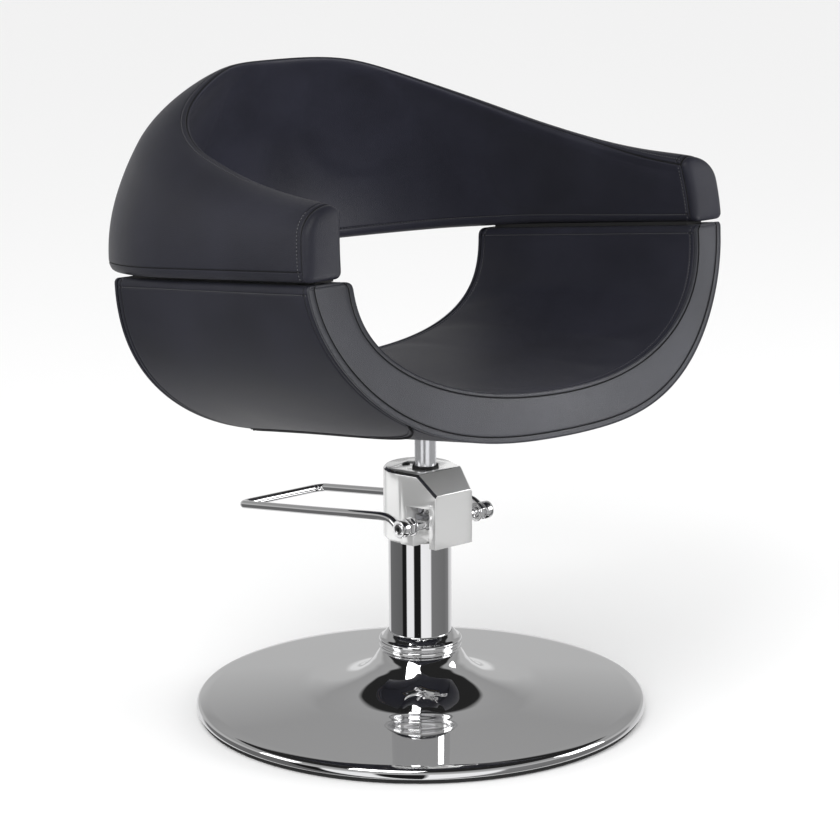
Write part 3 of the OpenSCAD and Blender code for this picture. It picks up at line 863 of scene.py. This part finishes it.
LEATHER = leather("leather_navy_black", (0.0135, 0.0138, 0.0220), 0.45, 0.34, 0.30)
# The same navy-black leather in a lighter tone for the tub's front facing: painted light, standing in for the
# light falling on the front strip.
LIT_FACING_LEATHER = leather("leather_facing", (0.030, 0.031, 0.0385), 0.42, 0.42, 0.5)
# Stitch thread: black thread lightened to mid grey, a painted highlight that shows the glints on its loops as
# light specks.
THREAD = rough_surface("thread_black_painted_glint", (0.085, 0.085, 0.095), 0.42, 0.0, 2500.0, 0.3)
# Near-black material of the tubes that paint the shade in the seam grooves and at the panel edges.
SHADE = rough_surface("seam_painted_shadow_black", (0.0015, 0.0015, 0.002), 0.9, 0.0, 2500.0, 0.2)
CHROME = polished("chrome_plate", (0.83, 0.83, 0.835), 0.035, 0.015)
SATIN = polished("chrome_satin", (0.90, 0.90, 0.895), 0.14, 0.02, metallic=0.6)
ROD = polished("rod_chrome", (0.84, 0.845, 0.87), 0.22, 0.03, metallic=0.7)
STEEL = rough_surface("steel_machined", (0.42, 0.42, 0.44), 0.32)
BLACK_STEEL = rough_surface("steel_black_paint", (0.02, 0.02, 0.02), 0.45, 0.0, 500.0, 0.2)
IRON = rough_surface("cast_iron_painted", (0.03, 0.03, 0.03), 0.7, 0.0, 220.0, 0.5)
RUBBER = rough_surface("rubber_black", (0.012, 0.012, 0.012), 0.6, 0.0, 600.0, 0.2)
PLY = wood("plywood")
BY_SLOT = {"chrome": CHROME, "rod_chrome": ROD, "steel": STEEL, "black_steel": BLACK_STEEL,
           "black_screw": BLACK_STEEL, "cast_iron": IRON, "rubber": RUBBER, "plywood": PLY,
           "black_plastic": RUBBER, "leather": LEATHER, "leather_facing": LIT_FACING_LEATHER}


def dress(piece, mat, body, *nodes, slot):
    piece.data.materials.clear()
    piece.data.materials.append(mat)
    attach(piece, body)
    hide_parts(*nodes)
    return piece


for entry in frame["record"]["subparts"]:
    node = frame["nodes"][entry["node"]]
    for place in node.material_slots:
        place.material = BY_SLOT[entry["material_slot"]]


# ------------------------------------------------------------------ upholstery
def panel_piece(name, node, front, back, free, keep=None, cap=PUFF, mat=None):
    piece = slab(name, front, back, keep)
    front = inflate(piece, front, free, cap)
    drop_loose(piece)
    subdivided(piece, 1)
    slot = "leather_facing" if mat is LIT_FACING_LEATHER else "leather"
    dress(piece, mat or LEATHER, "seat", node, slot=slot)
    return front


rows, edges = [], []
for side, name, node in ((0, "band_cover_leather", "band_cover"), (1, "band_lining_leather", "band_pad")):
    front, back, n, free, at = band_panel(side)
    front = panel_piece(name, node, front, back, free)
    band_rows = [(front[k], n[k]) for k in at["end"]] + [(front[:, at["low"]], n[:, at["low"]])]
    if side == 0:
        band_rows.append((front[:, at["top"]], n[:, at["top"]]))
    rows += [(p[4:-4], q[4:-4]) for p, q in band_rows]
    edges += [(front[0], n[0]), (front[-1], n[-1])] + ([] if side else [(front[:, -1], n[:, -1])])
stitches("band_stitching", rows)
# Painted shadow: near-black tubes in the stitch folds and along the panel edges stand in for the shade of the
# seam grooves.
seam_shadow_lines("band_seam_painted_shadow", rows)
seam_shadow_lines("band_edge_painted_shadow", edges, 0.0011, 0.0016)

rows, edges = [], []
for side, name, node in ((0, "tub_cover_leather", "tub_cover"), (1, "tub_lining_leather", "tub_pad")):
    front, back, n, free, keep, du, top, x, y = tub_panel(side)
    front = panel_piece(name, node, front, back, free, keep)
    for k in range(du.shape[0]):
        if abs(du[k, 0] - top) < 1e-6:
            rows.append((front[k, 3:-3], n[k, 3:-3]))
    for j in (8, -9):
        rows.append((front[4:-4, j], n[4:-4, j]))
    edges += [(front[:, 0], n[:, 0]), (front[:, -1], n[:, -1])]
    if side == 0:
        for sign in (-1, 1):
            for off in (-0.0044, 0.0044):
                k = int(np.argmin(np.abs(sign * x[:, 5] - split_x(y[:, 5]) - off)))
                rows.append((front[k, 3:-3], n[k, 3:-3]))
            k = int(np.argmin(np.abs(sign * x[:, 5] - split_x(y[:, 5]))))
            edges.append((front[k, 3:-3], n[k, 3:-3]))
# The front facing takes the lighter leather tone that paints the light on the front.
for rear, name, node, mat in ((0, "tub_facing_leather", "tub_facing", LIT_FACING_LEATHER),
                              (1, "tub_rear_leather", "tub_rear_facing", LEATHER)):
    front, back, n, at = facing_grid(rear)
    panel_piece(name, node, front, back, np.zeros(front.shape[:2], bool), mat=mat)
    rows += [(front[3:-3, k], n[3:-3, k]) for k in at]
stitches("tub_stitching", rows)
# Painted shadow: near-black tubes in the stitch folds and along the panel edges stand in for the shade of the
# seam grooves.
seam_shadow_lines("tub_seam_painted_shadow", rows)
seam_shadow_lines("tub_edge_painted_shadow", edges, 0.0011, 0.0012)

for side, label in ((1, "left"), (-1, "right")):
    cap = arm_cap("arm_cap_" + label + "_leather", side)
    dress(cap, LEATHER, "seat", "arm_cap_" + label, slot="leather_facing")

# ------------------------------------------------------------------ metalwork
DOME = [(0.0425, 0.082), (0.0470, 0.0818), (0.0520, 0.0802), (0.0570, 0.0745), (0.0630, 0.0655),
        (0.0720, 0.0552), (0.0860, 0.0451), (0.1040, 0.0374), (0.1240, 0.0324), (0.1430, 0.0297),
        (0.1560, 0.0284), (0.1750, 0.0272), (0.2150, 0.0247), (0.2520, 0.0222), (0.2770, 0.0203)]
top_line = catmull(DOME, 6)
lip = np.concatenate([arc(0.2870, 0.0118, 0.0080, 70, -60, 14), [[0.2872, 0.0054], [0.2858, 0.0056]]])
under = top_line[::-1] + [0, -0.003]
under[:, 0] = np.maximum(under[:, 0] - 0.001, 0.0425)
dish = lathe("base_dish", np.concatenate([top_line, lip, under]), n=256)
sharpen(dish, 40)
dress(dish, CHROME, "base", "base_disc", slot="chrome")

collar = lathe("collar_cone", np.concatenate([
    [[0.0412, 0.0823], [0.0490, 0.0823]],
    arc(0.0515, 0.0848, 0.0022, -90, 0, 5), arc(0.0515, 0.0868, 0.0022, 0, 60, 4),
    [[0.0515, 0.0892], [0.0515, 0.0900]], arc(0.0520, 0.0922, 0.0022, -60, 0, 4),
    arc(0.0515, 0.0950, 0.0027, 0, 75, 6), catmull([[0.0505, 0.0983], [0.0470, 0.1025], [0.0440, 0.1052]], 5),
    [[0.0425, 0.1060], [0.0412, 0.1058]]]))
sharpen(collar, 40)
dress(collar, CHROME, "base", "collar_ring", slot="chrome")

HEAD_TOP, HEAD_LOW = 0.328, 0.233
SHAFT_Y, SHAFT_Z = -0.048, 0.265


def head_rim(mid):
    """Edges of the head's top outline and of its slanted front-top face's sides."""
    flat = abs(mid.z - HEAD_TOP) < 1e-4 and math.hypot(mid.x, mid.y + 0.012) > 0.022 and math.hypot(
        mid.x + 0.010, mid.y - 0.015) > 0.008
    slope = mid.z > 0.3045 and mid.y < -0.041 and abs(mid.x) > 0.028
    return (flat and mid.y > -0.039) or slope


def low_rim(mid):
    """The edges above and the round edge of the head's underside."""
    return head_rim(mid) or (abs(mid.z - HEAD_LOW) < 1e-4 and mid.y > -0.02
                             and math.hypot(mid.x, mid.y) > 0.04)


head = eased("pump_head", 0.0005, low_rim, 0.0030)
dress(head, SATIN, "base", "pump_head", slot="chrome")
darken(head, CHROME, lambda c, n: (0.35 < n.z < 0.9 and c.z > 0.303
                                   and (c.z > HEAD_TOP - 0.0032 or abs(n.x) > 0.4)))
fittings = []
for node, width, mat, body, slot in (
        ("pedal_eyes", 0.0012, CHROME, "pedal", "chrome"),
        ("pedal_nuts", 0.0007, CHROME, "pedal", "chrome"),
        ("pedal_shaft", 0.0009, CHROME, "pedal", "steel"),
        ("filler_screw", 0.0004, BLACK_STEEL, "base", "black_screw"),
        ("rod_gland", 0.0008, RUBBER, "base", "rubber"),
        ("seat_plate", 0.0008, BLACK_STEEL, "seat", "black_steel"),
        ("plate_bolts", 0.0005, STEEL, "seat", "steel"),
        ("seat_hub", 0.0012, BLACK_STEEL, "seat", "black_steel")):
    part = dress(eased(node, width), mat, body, node, slot=slot)
    if mat is CHROME:
        fittings.append(part)
    # Painted shade: the shaft's end faces take black steel, standing in for the dark of the hole in each eye.
    if node == "pedal_shaft":
        darken(part, BLACK_STEEL, lambda c, n: (math.hypot(c.y - SHAFT_Y, c.z - SHAFT_Z) < 0.0036
                                                and abs(c.x) > 0.069))

ARM_X, LOOP_Y, LOOP_Z, LOOP_R = 0.070, 0.298, 0.228, 0.0055
BEND_R, DROP = 0.015, 0.003
side_yz = [(-0.0400, 0.2655), (-0.0330, 0.2700), (-0.0240, 0.2732), (-0.0100, 0.2735),
           (0.0200, 0.2695), (0.12, 0.2545), (0.22, 0.2400), (LOOP_Y - BEND_R - 0.001, LOOP_Z + DROP)]
half = [[ARM_X, y, z] for y, z in side_yz]
bend = [[ARM_X - BEND_R * (1 - math.cos(a)), LOOP_Y - BEND_R * (1 - math.sin(a)),
         LOOP_Z + DROP * (1 - math.sin(a))] for a in np.radians([18, 36, 54, 72, 90])]
route = catmull(half + bend + [[0.03, LOOP_Y, LOOP_Z]], 6)
route = np.concatenate([route, route[::-1] * [-1, 1, 1]])
loop = dress(tube("foot_loop", route, LOOP_R), CHROME, "pedal", "pedal_loop", slot="chrome")
loop.visible_glossy = False


def follow_gap(node, mat, slot, widen=False):
    """Copy of a CAD solid at the gap that follows the gap's own slope."""
    mesh = frame["nodes"][node].data.copy()
    piece = bpy.data.objects.new(node + "_fitted", mesh)
    bpy.context.collection.objects.link(piece)
    co = np.array([v.co for v in mesh.vertices])
    c, s = math.cos(TILT), math.sin(TILT)
    x, up = co[:, 0], co[:, 2] - BAND_Z
    y, h = co[:, 1] * c - up * s, co[:, 1] * s + up * c
    if widen:
        low, high = SPACER_CAD
        share = (np.abs(x) - low) / (high - low)
        x = np.sign(x) * (SPACER_X[0] + share * (SPACER_X[1] - SPACER_X[0]))
        y = np.where(y < SPACER_FRONT, y - 0.004, y)
    mesh.vertices.foreach_set("co", seat_pt(x, y, h).ravel())
    mesh.update()
    return dress(piece, mat, "seat", node, slot=slot)


follow_gap("band_frame", PLY, "plywood")
follow_gap("tub_frame", PLY, "plywood")
follow_gap("arm_spacers", RUBBER, "black_plastic", widen=True)

# ------------------------------------------------------------------ stage
CAM_AZ, CAM_D, CAM_H = math.radians(-40.163), 3.467, 1.199
PITCH, YAW, ROLL, FOCAL = math.radians(13.173), math.radians(-0.018), math.radians(-0.326), 2762.9


def floor():
    mesh = bpy.data.meshes.new("floor")
    s, z = 60, -0.0005
    mesh.from_pydata([(-s, -s, z), (s, -s, z), (s, s, z), (-s, s, z)], [], [(0, 1, 2, 3)])
    o = bpy.data.objects.new("floor", mesh)
    bpy.context.collection.objects.link(o)
    m, b = material("floor_white", (0.9, 0.9, 0.9), 0, 0.95)
    b.inputs["Specular IOR Level"].default_value = 0.1
    mesh.materials.append(m)
    o.visible_glossy = False


def lamp(name, loc, target, size, power, only=None):
    """Soft rectangle of light, on everything or on one group of pieces."""
    data = bpy.data.lights.new(name, "AREA")
    data.shape, data.size, data.size_y = "RECTANGLE", size[0], size[1]
    data.energy = power
    o = bpy.data.objects.new(name, data)
    bpy.context.collection.objects.link(o)
    o.location = loc
    o.rotation_euler = (Vector(target) - Vector(loc)).to_track_quat("-Z", "Y").to_euler()
    o.visible_camera = False
    if only:
        o.light_linking.receiver_collection = only


def studio_world():
    """White room: panels and dark gaps round the horizon for polished metal, even light for the rest."""
    world = bpy.data.worlds.new("studio")
    bpy.context.scene.world = world
    world.use_nodes = True
    t = world.node_tree
    link = t.links.new
    t.nodes.clear()
    at = put(t, "ShaderNodeTexCoord")

    def dot(x, y, z):
        node = put(t, "ShaderNodeVectorMath", operation="DOT_PRODUCT")
        link(at.outputs["Generated"], node.inputs[0])
        node.inputs[1].default_value = (x, y, z)
        return node.outputs["Value"]

    ahead = dot(math.sin(CAM_AZ), -math.cos(CAM_AZ), 0)
    aside = dot(math.cos(CAM_AZ), math.sin(CAM_AZ), 0)
    turn = put(t, "ShaderNodeMath", operation="ARCTAN2")
    link(aside, turn.inputs[0])
    link(ahead, turn.inputs[1])
    share = put(t, "ShaderNodeMapRange")
    share.inputs["From Min"].default_value, share.inputs["From Max"].default_value = -math.pi, math.pi
    link(turn.outputs[0], share.inputs["Value"])
    ring = put(t, "ShaderNodeValToRGB")
    panels = ((-142, 0.75), (-134, 0.16), (-70, 0.13), (-66, 0.012), (-51, 0.012), (-49, 0.95),
              (-24, 0.95), (-21, 0.012), (2, 0.012), (4, 1.0), (39, 0.95), (43, 0.20), (100, 0.17),
              (124, 0.22), (128, 0.55), (150, 0.75))
    ramp = ring.color_ramp
    for e in ramp.elements:
        e.color = (0.75, 0.75, 0.75, 1)
    for deg, tone in panels:
        ramp.elements.new((deg + 180) / 360).color = (tone, tone, tone * 1.01, 1)
    link(share.outputs["Result"], ring.inputs["Fac"])
    sky = put(t, "ShaderNodeValToRGB")
    steps = sky.color_ramp.elements
    steps[0].color, steps[1].color = (0.50, 0.50, 0.50, 1), (0.02, 0.02, 0.02, 1)
    for height, tone in ((0.25, 0.50), (0.40, 0.33), (0.60, 0.36), (0.64, 0.02)):
        steps.new(height).color = (tone, tone, tone, 1)
    up = dot(0, 0, 1)
    link(up, sky.inputs["Fac"])
    over = put(t, "ShaderNodeMapRange")
    over.inputs["From Min"].default_value, over.inputs["From Max"].default_value = -0.02, 0.06
    link(up, over.inputs["Value"])
    room = put(t, "ShaderNodeMixRGB")
    link(over.outputs["Result"], room.inputs["Fac"])
    link(ring.outputs["Color"], room.inputs["Color1"])
    link(sky.outputs["Color"], room.inputs["Color2"])
    kind = put(t, "ShaderNodeLightPath")
    even = put(t, "ShaderNodeMixRGB", Color2=(1.0, 1.0, 1.0, 1))
    plain = put(t, "ShaderNodeMath", operation="SUBTRACT")
    plain.inputs[0].default_value = 1.0
    link(kind.outputs["Is Glossy Ray"], plain.inputs[1])
    link(plain.outputs[0], even.inputs["Fac"])
    link(room.outputs["Color"], even.inputs["Color1"])
    back = put(t, "ShaderNodeBackground", Strength=1.0)
    link(even.outputs["Color"], back.inputs["Color"])
    out = put(t, "ShaderNodeOutputWorld")
    link(back.outputs["Background"], out.inputs["Surface"])


def camera():
    data = bpy.data.cameras.new("camera")
    cam = bpy.data.objects.new("camera", data)
    bpy.context.collection.objects.link(cam)
    data.sensor_width = 36
    data.lens = FOCAL / 840 * 36
    data.clip_end = 200
    cam.location = (math.sin(CAM_AZ) * CAM_D, -math.cos(CAM_AZ) * CAM_D, CAM_H)
    heading = CAM_AZ + YAW
    ahead = Vector((-math.sin(heading) * math.cos(PITCH), math.cos(heading) * math.cos(PITCH),
                    -math.sin(PITCH)))
    right = ahead.cross(Vector((0, 0, 1))).normalized()
    up = right.cross(ahead)
    x_axis = right * math.cos(ROLL) + up * math.sin(ROLL)
    y_axis = up * math.cos(ROLL) - right * math.sin(ROLL)
    cam.rotation_euler = Matrix((x_axis, y_axis, -ahead)).transposed().to_euler()
    bpy.context.scene.camera = cam


def group(name, pieces):
    """Pieces that one lamp is kept for."""
    c = bpy.data.collections.new(name)
    for piece in pieces:
        c.objects.link(piece)
    return c


floor()
named = bpy.data.objects
pump = group("pump_pieces", [head, *fittings])
bars = group("bar_pieces", [head, loop, frame["nodes"]["piston_rod"], *fittings])
linings = group("lining_pieces", [named["band_lining_leather"], named["tub_lining_leather"]])
facing = group("facing_pieces", [named["tub_facing_leather"], named["arm_cap_left_leather"],
                                 named["arm_cap_right_leather"]])
lamp("key", (-1.9, -1.0, 2.6), (0, 0, 0.5), (1.6, 1.6), 38)
lamp("right_front", (2.4, -2.3, 1.2), (0, 0, 0.4), (1.6, 1.6), 30)
lamp("left", (-2.9, 1.2, 0.9), (0, 0, 0.3), (1.2, 1.2), 10)
lamp("front", (0.2, -3.2, 1.1), (0.1, 0, 0.6), (2.0, 1.4), 95, linings)
lamp("low_front", (0.45, -1.0, 0.08), (0.05, -0.22, 0.42), (0.5, 0.5), 7.5, facing)
lamp("low_right", (0.165, -0.265, 0.19), (0, -0.068, 0.27), (0.22, 0.20), 0.03, pump)
lamp("low_left", (-0.205, 0.195, 0.19), (-0.03, 0, 0.27), (0.34, 0.20), 0.16, pump)
lamp("low_back", (0.0645, 0.0764, 0.355), (0, 0, 0.338), (0.20, 0.030), 0.014, pump)
lamp("bar_light", (-0.9, -0.9, 0.70), (0, 0, 0.27), (0.5, 0.5), 1.7, bars)
studio_world()
camera()
bpy.context.scene.view_settings.view_transform = "Standard"
